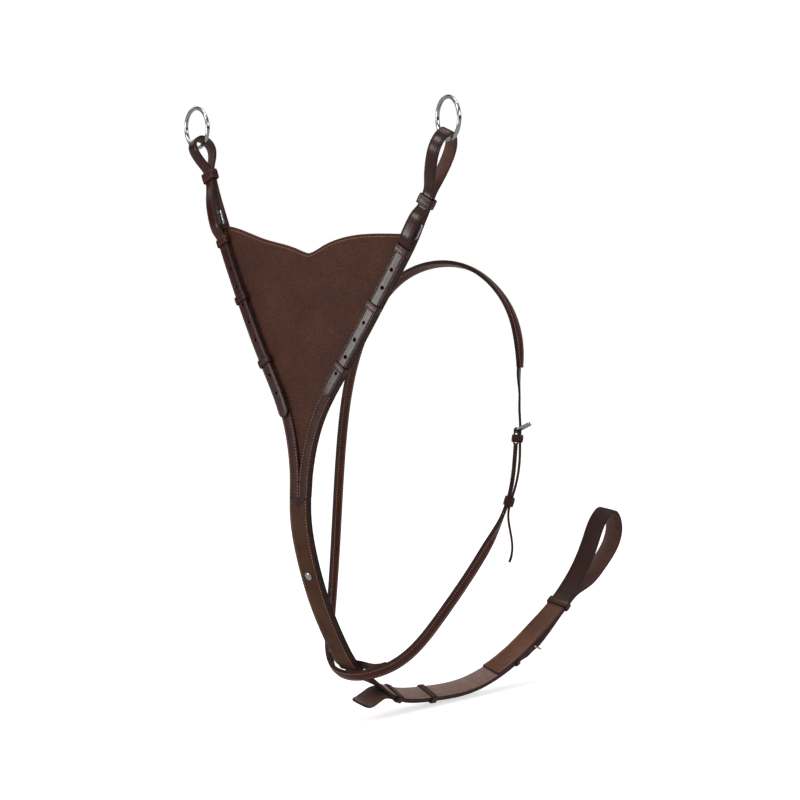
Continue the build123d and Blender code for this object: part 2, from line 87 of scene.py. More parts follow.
# Distance of a row of stitches from the edge, in millimetres
FORK_SEAM = 2.0
WIDE_SEAM = 2.2
GIRTH_SEAM = 2.4

PUNCH = 3.4 * MM
BIB_ROW = 3.2 * MM

# Stitching: gaps between stitches, length and thickness of one stitch, and its slant to the row
STITCH_PITCH = 3.3 * MM
STITCH_LENGTH = 2.2 * MM
STITCH_RADIUS = 0.34 * MM
STITCH_SLANT = math.radians(14)

# Following a strap: first step, smallest step, and the gap between the points of its course
TRACE_STEP = 1.0 * MM
LEAST_STEP = 0.1 * MM
STATION_GAP = 1.6 * MM


# ---------- reading straps off the frame

def node_mesh(node):
    """Corners, edges and the three edges of each triangle of a CAD node, with its split corners merged."""
    mesh = frame["nodes"][node].data
    mesh.calc_loop_triangles()
    places = np.array([v.co for v in mesh.vertices], float)
    corners, merged = np.unique(np.round(places, 7), axis=0, return_inverse=True)
    triangles = merged.reshape(-1)[np.array([t.vertices[:] for t in mesh.loop_triangles])]
    sides = np.sort(triangles[:, [[0, 1], [1, 2], [2, 0]]], axis=2).reshape(-1, 2)
    edges, side_edges = np.unique(sides, axis=0, return_inverse=True)
    return corners, edges, side_edges.reshape(-1, 3)


def unit(vector):
    return vector / np.linalg.norm(vector)


def full_turn(count):
    """Angles evenly spaced round a circle."""
    return np.linspace(0, 2 * math.pi, count + 1)[:-1]


def read_at(spots, distance, values):
    """Vectors given at distances along a line, read off at other spots on it."""
    return np.stack([np.interp(spots, distance, values[:, i]) for i in range(3)], -1)


def outlines(mesh, place, normal):
    """The closed outlines where a plane cuts a mesh, each as an array of points."""
    corners, edges, side_edges = mesh
    height = (corners - place) @ normal
    low, high = height[edges[:, 0]], height[edges[:, 1]]
    crossing = (low > 0) != (high > 0)
    cut_sides = side_edges[crossing[side_edges].sum(1) == 2]
    pairs = cut_sides[crossing[cut_sides]].reshape(-1, 2)
    leader = {edge: edge for edge in np.flatnonzero(crossing)}

    def lead(edge):
        while leader[edge] != edge:
            edge = leader[edge]
        return edge

    for first, second in pairs:
        leader[lead(first)] = lead(second)
    groups = {}
    for edge in leader:
        groups.setdefault(lead(edge), []).append(edge)
    found = []
    for members in groups.values():
        share = (low[members] / (low[members] - high[members]))[:, None]
        ends = edges[members]
        found.append(corners[ends[:, 0]] * (1 - share) + corners[ends[:, 1]] * share)
    return found


class Course:
    """The run of a strap: points along its middle, with the direction across it at each."""

    def __init__(self, points, across, width, thickness):
        self.points = points
        self.across = across
        self.width = width
        self.thickness = thickness
        steps = np.linalg.norm(np.diff(points, axis=0), axis=1)
        self.distance = np.concatenate([[0.0], np.cumsum(steps)])
        self.length = self.distance[-1]

    def at(self, distance):
        """Points and directions at distances along the strap."""
        distance = np.atleast_1d(distance)
        points = read_at(distance, self.distance, self.points)
        across = read_at(distance, self.distance, self.across)
        before, after = read_near(self, distance, -1), read_near(self, distance, 1)
        along = after - before
        along /= np.linalg.norm(along, axis=1)[:, None]
        across -= along * np.sum(across * along, 1)[:, None]
        across /= np.linalg.norm(across, axis=1)[:, None]
        out = np.cross(across, along)
        return points, along, across, out

    def nearest(self, place):
        """Distance along the strap of the point of it nearest to a place."""
        return self.distance[np.argmin(np.linalg.norm(self.points - np.array(place), axis=1))]

    def turned(self):
        """The same course run the other way."""
        return Course(self.points[::-1], -self.across[::-1], self.width, self.thickness)


def read_near(course, distance, side):
    """Points a little ahead of or behind distances along a course, running straight on past its ends."""
    near = distance + side * MM
    inside = np.clip(near, 0, course.length)
    points = read_at(inside, course.distance, course.points)
    first = unit(course.points[1] - course.points[0])
    last = unit(course.points[-1] - course.points[-2])
    over = near - inside
    return points + np.where(over[:, None] < 0, first * over[:, None], last * over[:, None])


def near_outlines(mesh, place, along, across, width, thickness, off_centre=1):
    """The outlines where a plane cuts a strap, without those of its other layers."""
    out = np.cross(across, along)
    near = []
    for outline in outlines(mesh, place, along):
        a, n = (outline - place) @ across, (outline - place) @ out
        if abs(a.max() + a.min()) < 1.1 * width * off_centre and abs(n.max() + n.min()) < thickness:
            near.append(outline)
    return near


def section(mesh, place, along, across, width, thickness, off_centre=1):
    """Middle, across direction and breadth of the strap where a plane cuts it, or None past its end."""
    out = np.cross(across, along)
    near = near_outlines(mesh, place, along, across, width, thickness, off_centre)
    if not near:
        return None
    points = np.concatenate(near)
    a, n = (points - place) @ across, (points - place) @ out
    shift = middle_between(a.min(), a.max(), width)
    lift = middle_between(n.min(), n.max(), thickness)
    breadth = a.max() - a.min()
    middle = place + across * shift + out * lift
    if breadth > 0.8 * width:
        right, left = n[a > a.max() - 0.1 * width], n[a < a.min() + 0.1 * width]
        climb = (right.max() + right.min() - left.max() - left.min()) / 2
        across = unit(across * breadth + out * climb)
    return middle, across, breadth


def middle_between(low, high, size):
    """Middle of a layer seen between two limits. Where one side of it is cut away, its whole side decides."""
    from_low, from_high = low + size / 2, high - size / 2
    missing = size - (high - low)
    one_sided = abs(abs(from_low) - abs(from_high)) > 0.3 * missing
    if missing > 0.1 * size and one_sided:
        return min(from_low, from_high, key=abs)
    return (low + high) / 2


def march(mesh, place, along, across, width, thickness):
    """Follows a strap from a place on it to its end."""
    middles, acrosses, breadths = [place], [across], [width]
    step = TRACE_STEP
    while step > LEAST_STEP:
        found = section(mesh, middles[-1] + along * step, along, acrosses[-1], width, thickness)
        if found is None or found[2] < 0.85 * width:
            step /= 2
            continue
        middles.append(found[0])
        breadths.append(found[2])
        step = min(step * 2, TRACE_STEP)
        along = unit(middles[-1] - middles[-min(len(middles), 3)])
        acrosses.append(unit(found[1] - along * (found[1] @ along)))
    while breadths[-1] < 0.97 * width and len(middles) > 9:
        for values in (middles, acrosses, breadths):
            values.pop()
    return follow_tip(mesh, middles, acrosses, width, thickness)


def follow_tip(mesh, middles, acrosses, width, thickness):
    """Carries a followed strap on through its rounded or pointed tip, with no turn to either side."""
    across = acrosses[-1]
    along = unit(middles[-1] - middles[-min(len(middles), 8)])
    along = unit(along - across * (along @ across))
    step = TRACE_STEP / 2
    while step > LEAST_STEP:
        ahead = middles[-1] + along * step
        found = section(mesh, ahead, along, across, width, thickness)
        if found is None:
            step /= 2
            continue
        middles.append(found[0] - across * ((found[0] - ahead) @ across))
        acrosses.append(across)
        along = unit(middles[-1] - middles[-min(len(middles), 6)])
    return middles, acrosses


def first_cut(mesh, face, width, thickness):
    """The squarest cut through a strap at one of its faces: its middle and the direction along the strap."""
    out = np.array(face.normal, float)
    place = np.array(face.center, float) - out * thickness / 2
    side = unit(np.cross(out, [0.31, 0.59, 0.74]))
    cuts = []
    for turn in np.linspace(0, math.pi, 45)[:-1]:
        along = side * math.cos(turn) + np.cross(out, side) * math.sin(turn)
        found = section(mesh, place, along, np.cross(along, out), width, thickness, off_centre=4)
        if found and found[2] > 0.9 * width:
            cuts.append((found[2], along, found[0], np.cross(along, out)))
    return min(cuts, key=lambda cut: cut[0]) if cuts else None


def trace(node, width, thickness):
    """The course of the strap a CAD node stands for, found by cutting its mesh across again and again."""
    width, thickness = width * MM, thickness * MM
    mesh = node_mesh(node)
    largest = sorted(frame["nodes"][node].data.polygons, key=lambda polygon: -polygon.area)[:40]
    cuts = (first_cut(mesh, face, width, thickness) for face in largest)
    breadth, along, place, across = next(cut for cut in cuts if cut)
    ahead, ahead_across = march(mesh, place, along, across, width, thickness)
    back, back_across = march(mesh, place, -along, -across, width, thickness)
    points = np.array(back[:0:-1] + ahead)
    acrosses = np.array([-a for a in back_across[:0:-1]] + ahead_across)
    return even_course(points, acrosses, width, thickness)


def even_course(points, acrosses, width, thickness):
    """A course through traced points, evenly spaced and lightly smoothed."""
    steps = np.linalg.norm(np.diff(points, axis=0), axis=1)
    distance = np.concatenate([[0.0], np.cumsum(steps)])
    count = max(int(round(distance[-1] / STATION_GAP)), 4) + 1
    even = np.linspace(0, distance[-1], count)
    points, acrosses = read_at(even, distance, points), read_at(even, distance, acrosses)
    for _ in range(2):
        points[1:-1] = points[1:-1] * 0.5 + (points[:-2] + points[2:]) * 0.25
    for _ in range(12):
        acrosses[1:-1] = acrosses[1:-1] * 0.5 + (acrosses[:-2] + acrosses[2:]) * 0.25
    acrosses /= np.linalg.norm(acrosses, axis=1)[:, None]
    return Course(points, acrosses, width, thickness)


def face_toward(course, place):
    """Turns a course's grain side to face a place."""
    point, along, across, out = (values[0] for values in course.at(course.nearest(place)))
    if out @ (np.array(place) - point) < 0:
        course.across = -course.across


def face_from(course, other):
    """Turns a course's grain side away from the layer it is sewn to."""
    gaps = np.linalg.norm(course.points[:, None] - other.points[None], axis=2)
    here, there = np.unravel_index(np.argmin(gaps), gaps.shape)
    face_toward(course, 2 * course.points[here] - other.points[there])


def run_from(course, place):
    """Turns a course round, if need be, so that it starts at the end nearer to a place."""
    first, last = course.points[0], course.points[-1]
    is_nearer = np.linalg.norm(last - np.array(place)) < np.linalg.norm(first - np.array(place))
    return course.turned() if is_nearer else course


def holes_in(node, course):
    """Middle and length of each punched hole in a CAD strap, as distances along its course."""
    mesh = node_mesh(node)
    spots = np.arange(3 * MM, course.length - 6 * MM, 0.5 * MM)
    runs, current = [], []
    for spot, place, along, across, out in zip(spots, *course.at(spots)):
        near = near_outlines(mesh, place, along, across, course.width, course.thickness)
        if len(near) == 2:
            current.append(spot)
        elif current:
            runs.append(current)
            current = []
    return [((run[0] + run[-1]) / 2, run[-1] - run[0] + 0.5 * MM) for run in runs]


# ---------- materials

def tone(red, green, blue):
    """Linear colour of an sRGB colour given in 0-255."""
    shares = [value / 255 for value in (red, green, blue)]
    linear = [share / 12.92 if share <= 0.04045 else ((share + 0.055) / 1.055) ** 2.4 for share in shares]
    return (*linear, 1.0)


class Nodes:
    """A small helper for wiring a procedural material."""

    def __init__(self, name):
        self.material = bpy.data.materials.new(name)
        self.material.use_nodes = True
        self.tree = self.material.node_tree
        self.shader = self.tree.nodes["Principled BSDF"]

    def feed(self, socket, value):
        if isinstance(value, bpy.types.NodeSocket):
            self.tree.links.new(value, socket)
        else:
            socket.default_value = value

    def add(self, kind, inputs=None, **settings):
        node = self.tree.nodes.new(kind)
        for key, value in settings.items():
            setattr(node, key, value)
        for key, value in (inputs or {}).items():
            self.feed(node.inputs[key], value)
        return node

    def set(self, **inputs):
        for key, value in inputs.items():
            self.feed(self.shader.inputs[key.replace("_", " ")], value)

    def place(self, kind="Object"):
        return self.add("ShaderNodeTexCoord").outputs[kind]

    def axis(self, vector, axis):
        return self.add("ShaderNodeSeparateXYZ", {0: vector}).outputs[axis]

    def noise(self, scale, detail=3.0, roughness=0.6):
        inputs = {"Vector": self.place(), "Scale": scale, "Detail": detail, "Roughness": roughness}
        return self.add("ShaderNodeTexNoise", inputs).outputs["Fac"]

    def cells(self, scale):
        inputs = {"Vector": self.place(), "Scale": scale}
        return self.add("ShaderNodeTexVoronoi", inputs, feature="F1").outputs["Distance"]

    def ramp(self, value, *stops):
        node = self.add("ShaderNodeValToRGB", {"Fac": value})
        points = node.color_ramp.elements
        while len(points) < len(stops):
            points.new(0.5)
        for point, (place, color) in zip(points, stops):
            point.position = place
            point.color = color if len(color) == 4 else (*color, 1.0)
        return node.outputs["Color"]

    def math(self, operation, first, second=0.0):
        return self.add("ShaderNodeMath", {0: first, 1: second}, operation=operation).outputs[0]

    def mix(self, amount, first, second):
        return self.add("ShaderNodeMix", {"Factor": amount, 6: first, 7: second}, data_type="RGBA").outputs[2]

    def bump(self, height, distance, strength=1.0, under=None):
        inputs = {"Height": height, "Distance": distance, "Strength": strength}
        if under is not None:
            inputs["Normal"] = under
        return self.add("ShaderNodeBump", inputs).outputs["Normal"]


def leather(name, dark, light, roughness=0.42, coat=0.25, grain=(900, 0.10), edge_dark=0.40, far=None):
    """Dyed leather: mottled colour, pores, faint scuffs, and darker towards the strap's edges.

    grain is the pores' count to the metre and their depth in millimetres. far is (start, end, colour) for a
    strap that changes colour along y.
    """
    nodes = Nodes(name)
    mottle = nodes.noise(26, 5, 0.62)
    fine = nodes.noise(340, 3)
    color = nodes.ramp(mottle, (0.32, dark), (0.70, light))
    if far:
        start, end, far_color = far
        y = nodes.axis(nodes.place(), "Y")
        share = nodes.add("ShaderNodeMapRange", {"Value": y, "From Min": start, "From Max": end}).outputs[0]
        color = nodes.mix(share, color, far_color)
    color = nodes.mix(nodes.ramp(fine, (0.35, (0, 0, 0)), (0.75, (0.35, 0.35, 0.35))), color, dark)
    pores = nodes.cells(grain[0])
    creases = nodes.ramp(pores, (0.25, (0, 0, 0)), (0.75, (0.30, 0.30, 0.30)))
    color = nodes.mix(creases, color, tone(30, 16, 12))
    from_middle = nodes.math("ABSOLUTE", nodes.axis(nodes.place("UV"), "Y"))
    near_edge = nodes.ramp(from_middle, (0.80, (0, 0, 0)), (0.97, (edge_dark, edge_dark, edge_dark)))
    color = nodes.mix(near_edge, color, tone(14, 9, 8))
    scuff = nodes.noise(70, 6, 0.7)
    shine = nodes.add("ShaderNodeMapRange", {"Value": scuff, "From Min": 0.35, "From Max": 0.7,
                                             "To Min": roughness - 0.07, "To Max": roughness + 0.10})
    depth = nodes.math("SUBTRACT", 1.0, pores)
    relief = nodes.bump(depth, grain[1] * MM, 1.0)
    relief = nodes.bump(nodes.noise(150, 4), 0.25 * MM, 0.45, relief)
    nodes.set(Base_Color=color, Roughness=shine.outputs[0], Normal=relief, Specular_IOR_Level=0.22,
              Coat_Weight=coat, Coat_Roughness=0.22)
    return nodes.material


def edge_paint():
    """The burnished, dyed edge of bridle leather."""
    nodes = Nodes("burnished_edge")
    color = nodes.ramp(nodes.noise(180, 4), (0.35, tone(32, 17, 13)), (0.75, tone(62, 35, 26)))
    relief = nodes.bump(nodes.noise(700, 3), 0.12 * MM, 0.5)
    nodes.set(Base_Color=color, Roughness=0.40, Normal=relief, Coat_Weight=0.12, Coat_Roughness=0.3,
              Specular_IOR_Level=0.25)
    return nodes.material


def flesh_side(name, dark, light):
    """The unfinished inner side of a strap: matt, with short fibres."""
    nodes = Nodes(name)
    color = nodes.ramp(nodes.noise(120, 6, 0.72), (0.30, dark), (0.72, light))
    fibres = nodes.noise(900, 5, 0.75)
    nodes.set(Base_Color=color, Roughness=0.72, Normal=nodes.bump(fibres, 0.25 * MM, 0.7), Sheen_Weight=0.25,
              Sheen_Roughness=0.5)
    return nodes.material


def thread_material():
    nodes = Nodes("waxed_thread")
    color = nodes.ramp(nodes.noise(900, 3), (0.3, tone(150, 86, 70)), (0.8, tone(214, 154, 134)))
    twist = nodes.bump(nodes.noise(2600, 2), 0.08 * MM, 0.8)
    nodes.set(Base_Color=color, Roughness=0.55, Normal=twist)
    return nodes.material


def steel_material():
    """Polished stainless steel with fine wear marks."""
    nodes = Nodes("polished_steel")
    haze = nodes.add("ShaderNodeMapRange", {"Value": nodes.noise(240, 5, 0.7), "From Min": 0.35,
                                            "From Max": 0.75, "To Min": 0.10, "To Max": 0.24})
    color = nodes.ramp(nodes.noise(90, 3), (0.3, tone(196, 197, 200)), (0.8, tone(226, 226, 228)))
    nodes.set(Base_Color=color, Metallic=1.0, Roughness=haze.outputs[0],
              Normal=nodes.bump(nodes.noise(1400, 3), 0.03 * MM, 0.3))
    return nodes.material


# ---------- building meshes

def face_outwards(mesh):
    """Turns a closed mesh's faces round together if they look inwards."""
    work = bmesh.new()
    work.from_mesh(mesh)
    if work.calc_volume(signed=True) < 0:
        bmesh.ops.reverse_faces(work, faces=work.faces)
    work.to_mesh(mesh)
    work.free()


def grid_faces(rows, count, is_ring=False):
    """Faces between neighbouring sections of a swept piece. Each section is a closed outline."""
    faces = []
    for i in range(rows if is_ring else rows - 1):
        here, there = i * count, (i + 1) % rows * count
        for j in range(count):
            k = (j + 1) % count
            faces.append((here + j, here + k, there + k, there + j))
    return faces


def piece(name, corners, faces, materials, parts=None, across=None, node=None, body=None):
    """Makes an object of the model, riding the body of the CAD node it stands for, or a body by name."""
    mesh = bpy.data.meshes.new(name)
    mesh.from_pydata([tuple(c) for c in np.asarray(corners).tolist()], [], [tuple(f) for f in faces])
    for material in materials:
        mesh.materials.append(material)
    if parts is not None:
        mesh.polygons.foreach_set("material_index", np.asarray(parts, np.int32))
    if across is not None:
        layer = mesh.uv_layers.new(name="across")
        index = np.zeros(len(mesh.loops), np.int32)
        mesh.loops.foreach_get("vertex_index", index)
        layer.data.foreach_set("uv", np.stack([np.zeros(len(index)), np.asarray(across)[index]], 1).ravel())
    mesh.polygons.foreach_set("use_smooth", [True] * len(mesh.polygons))
    mesh.validate()
    face_outwards(mesh)
    obj = bpy.data.objects.new(name, mesh)
    bpy.context.scene.collection.objects.link(obj)
    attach(obj, body or bodies[node])
    if node:
        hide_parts(node)
    return obj


def carve(obj, cutters):
    """Cuts closed cutter meshes out of an object. Each cutter is (corners, faces)."""
    corners, faces = [], []
    for cutter_corners, cutter_faces in cutters:
        faces += [tuple(i + len(corners) for i in face) for face in cutter_faces]
        corners += [tuple(c) for c in cutter_corners]
    mesh = bpy.data.meshes.new("cutter")
    mesh.from_pydata(corners, [], faces)
    for material in obj.data.materials:
        mesh.materials.append(material)
    mesh.polygons.foreach_set("material_index", [EDGE] * len(mesh.polygons))
    face_outwards(mesh)
    cutter = bpy.data.objects.new("cutter", mesh)
    bpy.context.scene.collection.objects.link(cutter)
    modifier = obj.modifiers.new("carve", "BOOLEAN")
    modifier.operation, modifier.solver, modifier.object = "DIFFERENCE", "EXACT", cutter
    modifier.use_self = True
    graph = bpy.context.evaluated_depsgraph_get()
    carved = bpy.data.meshes.new_from_object(obj.evaluated_get(graph), depsgraph=graph)
    obj.modifiers.clear()
    obj.data = carved
    bpy.data.objects.remove(cutter)


def prism(outline, low, high):
    """A closed cutter: an outline of 3-D points carried from one offset to another."""
    count = len(outline)
    corners = [np.array(p) + low for p in outline] + [np.array(p) + high for p in outline]
    return corners, [tuple(range(count))[::-1], tuple(range(count, 2 * count))] + grid_faces(2, count)


GRAIN, EDGE, FLESH = 0, 1, 2
FLESH_EDGE_RADIUS = 0.35 * MM


class Look:
    """How a strap's section is worked: creases or stitch channels as distances from the edge, and a crown."""

    def __init__(self, grain, flesh, creases=(), channels=(), crown=0.0, edge_radius=0.6):
        self.grain = grain
        self.flesh = flesh
        self.creases = creases
        self.channels = channels
        self.crown = crown * MM
        self.edge_radius = edge_radius * MM

    def section(self, thickness):
        """Points of the right half of the grain side: (distance in from the edge, height, share of crown)."""
        r, top = self.edge_radius, thickness / 2
        points = [(0.0, top - r, 0.0), (0.29 * r, top - 0.29 * r, 0.0), (r, top, 0.0)]
        marks = [(inset * MM, 0.22 * MM, 0.30 * MM) for inset in self.creases]
        marks += [(inset * MM, 0.30 * MM, 0.55 * MM) for inset in self.channels]
        for inset, depth, breadth in sorted(marks):
            points += [(inset - breadth, top, 0.0), (inset, top - depth, 0.0), (inset + breadth, top, 0.05)]
        return points


def strap(node, course, look, rounded=False, crown=None):
    """A strap swept along its course, with worked edges and, if rounded, a half-round tip at its far end."""
    end, half_width, thickness = course.length, course.width / 2, course.thickness
    spots = list(np.linspace(0.0, end, max(int(end / STATION_GAP), 2) + 1))
    if rounded:
        tip = half_width * (1 - np.cos(np.linspace(0.12, math.pi / 2, 9)))
        spots = [s for s in spots if s < end - tip[-1] - 0.2 * MM] + list(end - tip[::-1])
    spots = np.array(spots)
    half = np.full(len(spots), half_width)
    if rounded:
        inside = np.clip(half_width - (end - spots), 0, half_width)
        half = np.sqrt(np.maximum(half_width ** 2 - inside ** 2, 0))
    points, along, across, out = course.at(spots)
    outline, grain_count = strap_outline(look, half_width, thickness)
    rise = np.full(len(spots), look.crown) if crown is None else crown(spots) * look.crown
    rise *= half / half_width
    rings, offsets = [], []
    for side, inset, height, share in outline:
        a = side * np.maximum(half - inset, 0.0)
        rings.append(points + across * a[:, None] + out * (height + share * rise)[:, None])
        offsets.append(a / half_width)
    rings, offsets = np.stack(rings, 1), np.stack(offsets, 1)
    faces, parts = strap_faces(len(spots), len(outline), grain_count)
    materials = [look.grain, burnished_edge, look.flesh]
    return piece(node + "_leather", rings.reshape(-1, 3), faces, materials, parts, offsets.ravel(), node)


def strap_outline(look, half_width, thickness):
    """A strap's section as (side, distance in from the edge, height, share of crown), grain side first."""
    right = look.section(thickness)
    inner = right[-1][0]
    for share in (0.25, 0.5, 0.75, 1.0):
        right.append((inner + (half_width - inner) * share, thickness / 2, math.sqrt(1 - (1 - share) ** 2)))
    grain = [(1, *p) for p in right] + [(-1, *p) for p in right[-2::-1]]
    r, low = FLESH_EDGE_RADIUS, -thickness / 2
    flesh = [(-1, 0.0, low + r, 0), (-1, r, low, 0), (-1, half_width, low, 0)]
    flesh += [(1, r, low, 0), (1, 0.0, low + r, 0)]
    return grain + flesh, len(grain)


def strap_faces(rows, count, grain_count):
    """Faces that join the sections of a strap and close its ends, and the material of each."""
    edges = {0, 1, grain_count - 3, grain_count - 2, grain_count - 1, grain_count, count - 2, count - 1}
    parts = [EDGE if j in edges else GRAIN if j < grain_count else FLESH for j in range(count)] * (rows - 1)
    last = (rows - 1) * count
    ends = [tuple(range(count))[::-1], tuple(range(last, last + count))]
    return grid_faces(rows, count) + ends, parts + [EDGE, EDGE]


def hole_cutters(node, course):
    """Cutters for the punched holes of a CAD strap."""
    cutters = []
    radius = PUNCH / 2
    for middle, length in holes_in(node, course):
        points, along, across, out = (values[0] for values in course.at(middle))
        straight = max((length - PUNCH) / 2, 0)
        outline = []
        for turn in full_turn(24):
            shift = straight if math.cos(turn) > 0 else -straight
            ahead, aside = radius * math.cos(turn) + shift, radius * math.sin(turn)
            outline.append(points + along * ahead + across * aside)
        cutters.append(prism(outline, -out * 1.9 * MM, out * 1.9 * MM))
    return cutters


# ---------- stitching

class Thread:
    """Collects the stitches that ride one body into one mesh."""

    def __init__(self, name, body):
        self.name, self.body = name, body
        self.corners, self.faces = [], []

    def stitch(self, middle, run, out):
        """One stitch: a short thread with its ends sunk in the leather."""
        side = np.cross(run, out)
        base = len(self.corners)
        rings = ((-0.5, -0.30, 0.75), (-0.25, 0.06, 1.0), (0.25, 0.06, 1.0), (0.5, -0.30, 0.75))
        for share, rise, girth in rings:
            centre = middle + run * (share * STITCH_LENGTH) + out * (rise * STITCH_RADIUS * 2)
            for angle in full_turn(6):
                spoke = side * math.cos(angle) + out * math.sin(angle)
                self.corners.append(centre + spoke * (STITCH_RADIUS * girth))
        self.faces += [tuple(base + i for i in face) for face in grid_faces(4, 6)]
        self.faces += [tuple(range(base + 5, base - 1, -1)), tuple(range(base + 18, base + 24))]

    def row(self, course, inset, side, start=0.0, end=None, grain=True, keep=None):
        """A row of stitches along a strap, a distance in from one edge, on its grain or its flesh side."""
        end = course.length if end is None else end
        spots = np.arange(start + STITCH_PITCH, end - STITCH_PITCH / 2, STITCH_PITCH)
        offset = side * (course.width / 2 - inset * MM)
        for place, along, across, out in zip(*course.at(spots)):
            face = out if grain else -out
            middle = place + across * offset + face * (course.thickness / 2 - 0.10 * MM)
            if keep is None or keep(middle):
                run = along * math.cos(STITCH_SLANT) + across * math.sin(STITCH_SLANT)
                self.stitch(middle, unit(run), face)

    def bar(self, course, spot, inset):
        """A row of stitches straight across the grain side of a strap."""
        place, along, across, out = (values[0] for values in course.at(spot))
        reach = course.width / 2 - inset * MM
        middle = place + out * (course.thickness / 2 - 0.05 * MM)
        for offset in np.arange(-reach, reach + 0.1 * MM, STITCH_LENGTH * 1.2):
            self.stitch(middle + across * offset, across, out)

    def path(self, places, outs):
        """A row of stitches through given places, each with its direction out of the leather."""
        places, outs = np.array(places), np.array(outs)
        steps = np.linalg.norm(np.diff(places, axis=0), axis=1)
        distance = np.concatenate([[0.0], np.cumsum(steps)])
        for spot in np.arange(STITCH_PITCH / 2, distance[-1], STITCH_PITCH):
            before, after = (read_at(spot + step, distance, places) for step in (-0.5 * MM, 0.5 * MM))
            run = unit(after - before)
            out = read_at(spot, distance, outs)
            out = unit(out - run * (out @ run))
            self.stitch(read_at(spot, distance, places), run, out)

    def sew(self):
        if self.corners:
            piece(self.name, self.corners, self.faces, [waxed_thread], body=self.body)


# ---------- keepers and chapes

def band(node, course, wall=1.5 * MM, corner=1.8 * MM):
    """A keeper or runner: a crowned leather band, creased near its rims, of the size of its CAD node."""
    corners = node_mesh(node)[0]
    place, along, across, out = (values[0] for values in course.at(course.nearest(corners.mean(0))))
    axes = np.array([across, out, along])
    local = (corners - place) @ axes.T
    middle = place + (local.max(0) + local.min(0)) / 2 @ axes
    half_across, half_out, half_long = (local.max(0) - local.min(0)) / 2
    rim = [(0.0, wall), (0.0, 0.45 * MM), (0.15 * MM, 0.12 * MM), (0.45 * MM, 0.0), (1.25 * MM, 0.0),
           (1.5 * MM, 0.22 * MM), (1.75 * MM, 0.0), (half_long * 0.6, -0.10 * MM)]
    section_points = [(-half_long + t, depth) for t, depth in rim] + [(0.0, -0.14 * MM)]
    section_points += [(half_long - t, depth) for t, depth in rim[::-1]]
    ring = []
    for corner_number in range(4):
        for turn in np.linspace(0, math.pi / 2, 6):
            angle = corner_number * math.pi / 2 + turn
            side_a = 1 if corner_number in (0, 3) else -1
            side_n = 1 if corner_number in (0, 1) else -1
            centre = (side_a * (half_across - corner), side_n * (half_out - corner))
            ring.append((centre, (math.cos(angle), math.sin(angle))))
    points = []
    for centre, spoke in ring:
        for t, depth in section_points:
            a = centre[0] + spoke[0] * (corner - depth)
            n = centre[1] + spoke[1] * (corner - depth)
            points.append(middle + across * a + out * n + along * t)
    rows, count = len(ring), len(section_points)
    faces = grid_faces(rows, count, is_ring=True)
    kinds = [FLESH if j == count - 1 else EDGE if j < 3 or j > count - 5 else GRAIN for j in range(count)]
    materials = [keeper_leather, burnished_edge, flesh_brown]
    piece(node + "_leather", points, faces, materials, kinds * rows, np.zeros(len(points)), node)


def chape(node, joint, look, leather_thickness=1.5 * MM):
    """The leather folded round a buckle's bar, with the slot for its tongue."""
    corners = node_mesh(node)[0]
    bar, axis = np.array(joint["pos_m"]), unit(np.array(joint["axis"]))
    spokes = (corners - bar) - ((corners - bar) @ axis)[:, None] * axis
    reach = np.linalg.norm(spokes, axis=1)
    back = unit(spokes[reach > 0.95 * reach.max()].mean(0))
    out = np.cross(axis, back)
    local = (corners - bar) @ np.array([axis, back, out]).T
    low, high = local.min(0), local.max(0)
    radius = (high[2] - low[2]) / 2 - leather_thickness / 2
    legs = np.linspace(high[1], 0, 8)
    turns = np.linspace(math.pi, 2 * math.pi, 13)[1:-1]
    places = [(leg, -radius) for leg in legs]
    places += [(radius * math.sin(turn), radius * math.cos(turn)) for turn in turns]
    places += [(leg, radius) for leg in legs[::-1]]
    points = np.array([bar + back * b + out * o for b, o in places])
    across = np.tile(axis, (len(points), 1))
    obj = strap(node, Course(points, across, high[0] - low[0], leather_thickness), look)
    wide, long = axis * 1.4 * MM, back * 4.75 * MM
    slot = [bar - wide - long, bar + wide - long, bar + wide + long, bar - wide + long]
    carve(obj, [prism(slot, -out * 6 * MM, out * 6 * MM)])


# ---------- bib

class Sheet:
    """The surface of a CAD sheet of the bib: its depth over x and z, and its lower and upper edges over x."""

    def __init__(self, node):
        mesh = node_mesh(node)
        x, y, z = mesh[0].T
        terms = np.stack([np.ones_like(x), z, x * x], 1)
        self.fit = np.linalg.lstsq(terms, y, rcond=None)[0]
        error = y - terms @ self.fit
        self.thickness = (error.max() - error.min()) / math.hypot(1, self.fit[1])
        self.columns = np.linspace(x.min() + 0.3 * MM, x.max() - 0.3 * MM, 221)
        self.low, self.high = [], []
        for column in self.columns:
            edge = np.concatenate(outlines(mesh, np.array([column, 0, 0]), np.array([1.0, 0, 0])))
            self.low.append(edge[:, 2].min())
            self.high.append(edge[:, 2].max())
        self.low, self.high = np.array(self.low), np.array(self.high)

    def point(self, x, z, lift):
        """A point off the middle of the sheet towards its front, with the sheet's gentle waves."""
        inside = np.clip((z - np.interp(x, self.columns, self.low)) / (90 * MM), 0, 1) ** 2
        wave = 0.5 * np.sin(38 * x + 21 * z + 0.6) + 0.35 * np.sin(67 * z - 30 * x) + 0.3 * np.sin(55 * x)
        out = self.out(x, z)
        place = np.stack([x, self.fit[0] + self.fit[1] * z + self.fit[2] * x * x, z], -1)
        return place + out * (lift + 0.9 * MM * wave * inside)[..., None]

    def out(self, x, z):
        """Direction out of the front of the sheet."""
        out = np.stack([2 * self.fit[2] * x, -np.ones_like(x), self.fit[1] * np.ones_like(x)], -1)
        return out / np.linalg.norm(out, axis=-1)[..., None]


